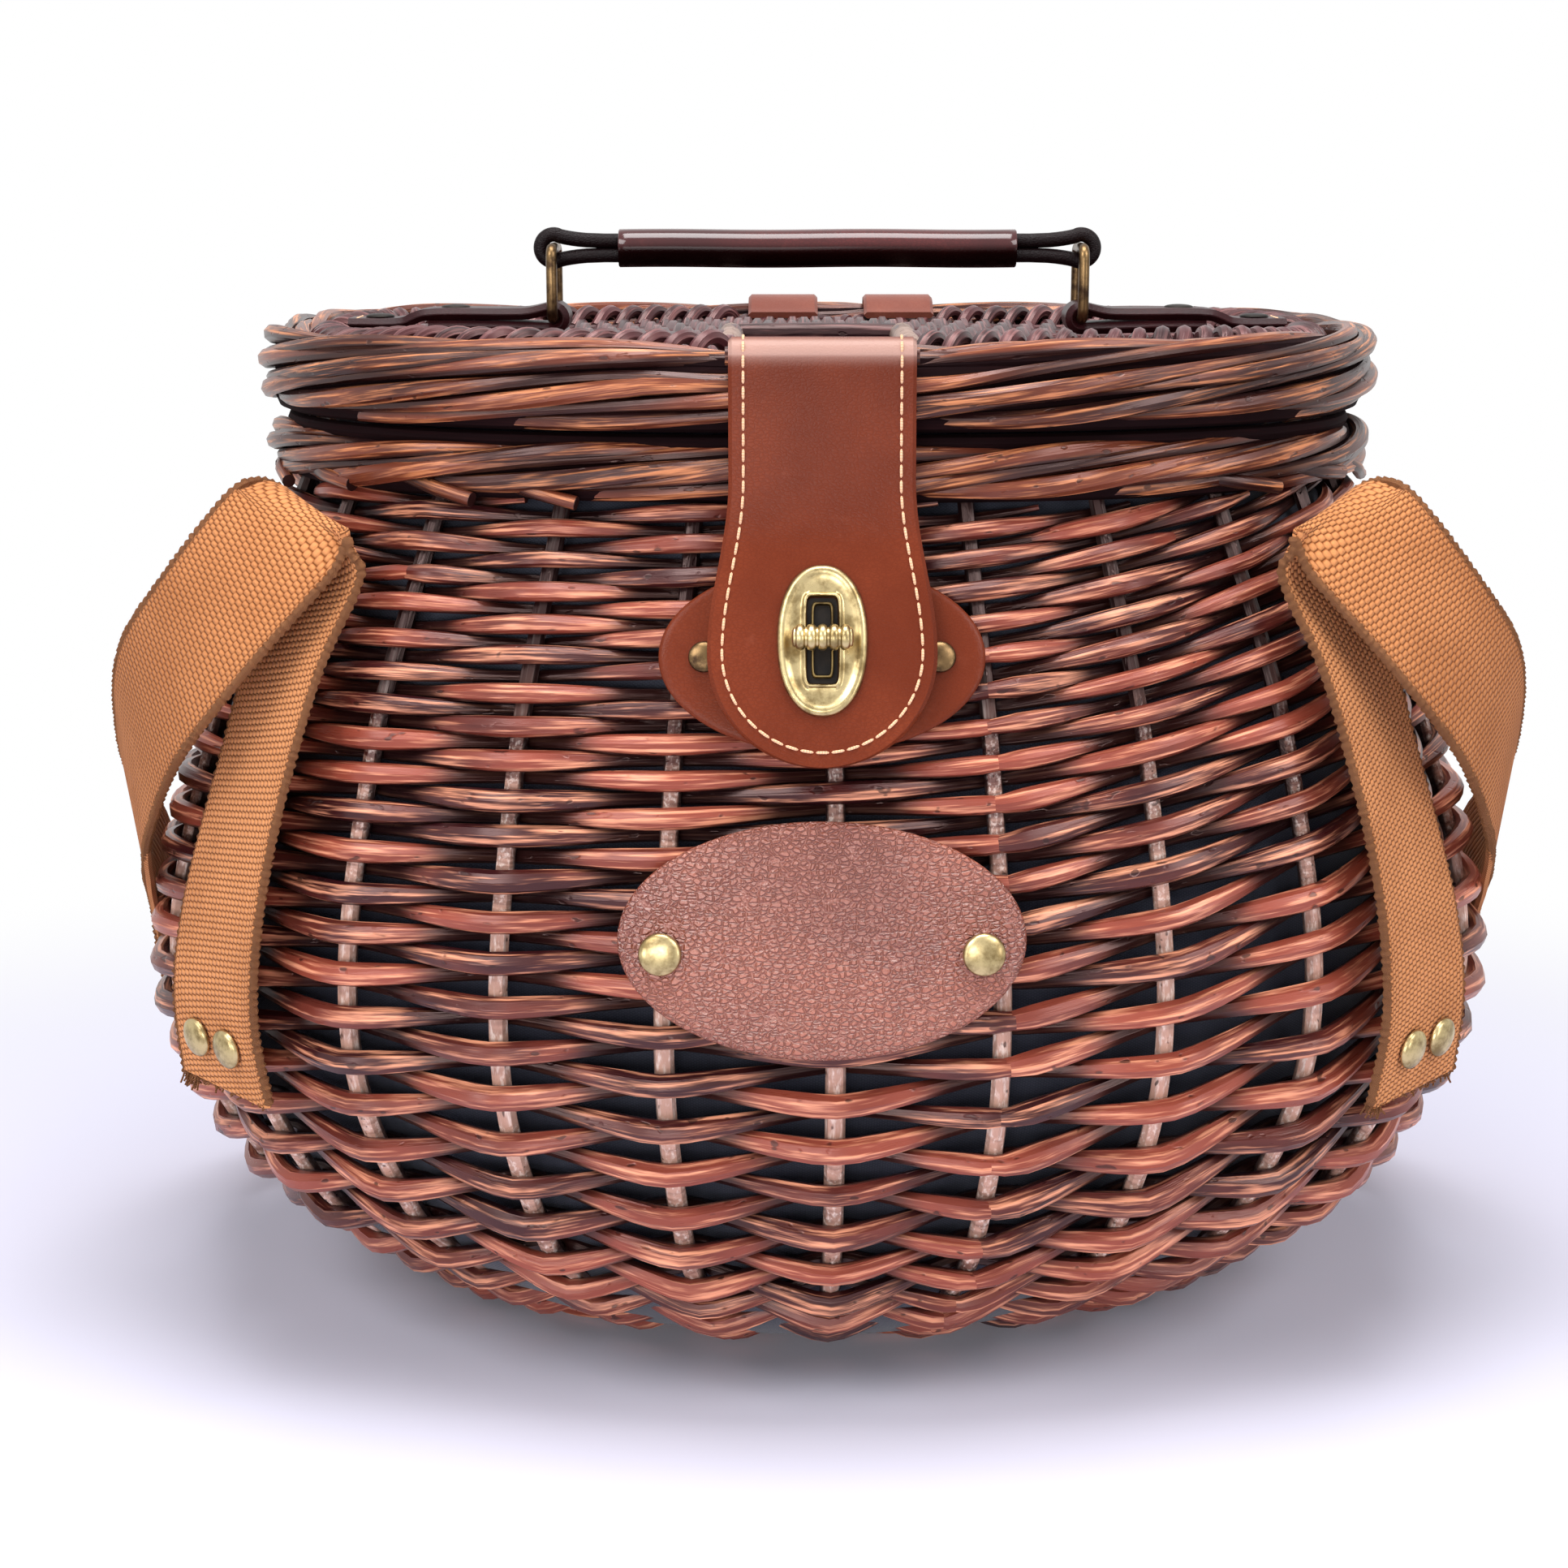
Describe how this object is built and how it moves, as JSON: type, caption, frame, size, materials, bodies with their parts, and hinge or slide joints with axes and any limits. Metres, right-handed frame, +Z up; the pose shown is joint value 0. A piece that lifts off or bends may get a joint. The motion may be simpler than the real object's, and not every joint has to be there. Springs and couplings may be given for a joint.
{
  "type": "picnic basket",
  "caption": "Pot-bellied woven willow picnic basket with a hinged, holed lid, a ring-hung leather grip, a strap with a turn-lock, and a webbing shoulder strap.",
  "frame": {"origin": "on the underside of the base, below the middle of the belly's widest line", "axes": "+X along the width, to the right as seen from the front; -Y out of the front; +Z up"},
  "size_m": [0.3934, 0.2875, 0.304],
  "materials": {
    "willow": "stained and varnished willow rods",
    "pale_willow": "lighter wrapped willow",
    "lining_cloth": "slate grey woven cloth",
    "leather": "mahogany leather, satin",
    "brass": "antique brass",
    "cord": "dark cord",
    "webbing": "tan cotton webbing"
  },
  "bodies": {
    "basket": {"base": "willow", "wall": "willow", "rim_border": "willow", "lining": "lining_cloth", "lock_backing": "leather", "lock_keeper": "brass", "backing_rivet_left": "brass", "backing_rivet_right": "brass", "label_patch": "leather", "label_rivet_left": "brass", "label_rivet_right": "brass", "shoulder_strap": "webbing", "strap_rivet_left_1": "brass", "strap_rivet_left_2": "brass", "strap_rivet_left_3": "brass", "strap_rivet_right_1": "brass", "strap_rivet_right_2": "brass", "strap_rivet_right_3": "brass"},
    "lid": {"lid_panel": "willow", "lid_border": "willow", "hole_frame": "pale_willow", "hinge_loop_left": "leather", "hinge_loop_right": "leather", "handle_tab_left": "leather", "handle_tab_right": "leather", "tab_rivet_left_1": "brass", "tab_rivet_left_2": "brass", "tab_rivet_right_1": "brass", "tab_rivet_right_2": "brass"},
    "flap": {"closure_flap": "leather", "lock_plate": "brass", "lock_boss": "brass"},
    "toggle": {"lock_toggle": "brass"},
    "left_ring": {"ring_left": "brass"},
    "right_ring": {"ring_right": "brass"},
    "grip": {"handle_cord": "cord", "grip_sleeve": "leather"}
  },
  "joints": [
    {"name": "lid_hinge", "type": "hinge", "parent": "basket", "child": "lid", "pos_m": [0, 0.0955, 0.253], "axis": [-1, 0, 0], "range_deg": [0, 105]},
    {"name": "flap_lift", "type": "hinge", "parent": "lid", "child": "flap", "pos_m": [0, -0.108, 0.2762], "axis": [-1, 0, 0], "range_deg": [0, 110]},
    {"name": "toggle_turn", "type": "hinge", "parent": "flap", "child": "toggle", "pos_m": [0, -0.12388, 0.20935], "axis": [0, -0.9484, 0.3171], "range_deg": [0, 90]},
    {"name": "handle_swing", "type": "hinge", "parent": "lid", "child": "left_ring", "pos_m": [-0.0726, 0, 0.27985], "axis": [0, 1, 0], "range_deg": [-60, 60]},
    {"name": "right_ring_swing", "type": "hinge", "parent": "lid", "child": "right_ring", "pos_m": [0.0726, 0, 0.27985], "axis": [0, 1, 0], "range_deg": [-60, 60]},
    {"name": "grip_level", "type": "hinge", "parent": "left_ring", "child": "grip", "pos_m": [-0.0726, 0, 0.29865], "axis": [0, 1, 0], "range_deg": [-60, 60]}
  ],
  "couplings": [
    {"joint": "right_ring_swing", "follows": "handle_swing", "ratio": 1},
    {"joint": "grip_level", "follows": "handle_swing", "ratio": -1}
  ]
}
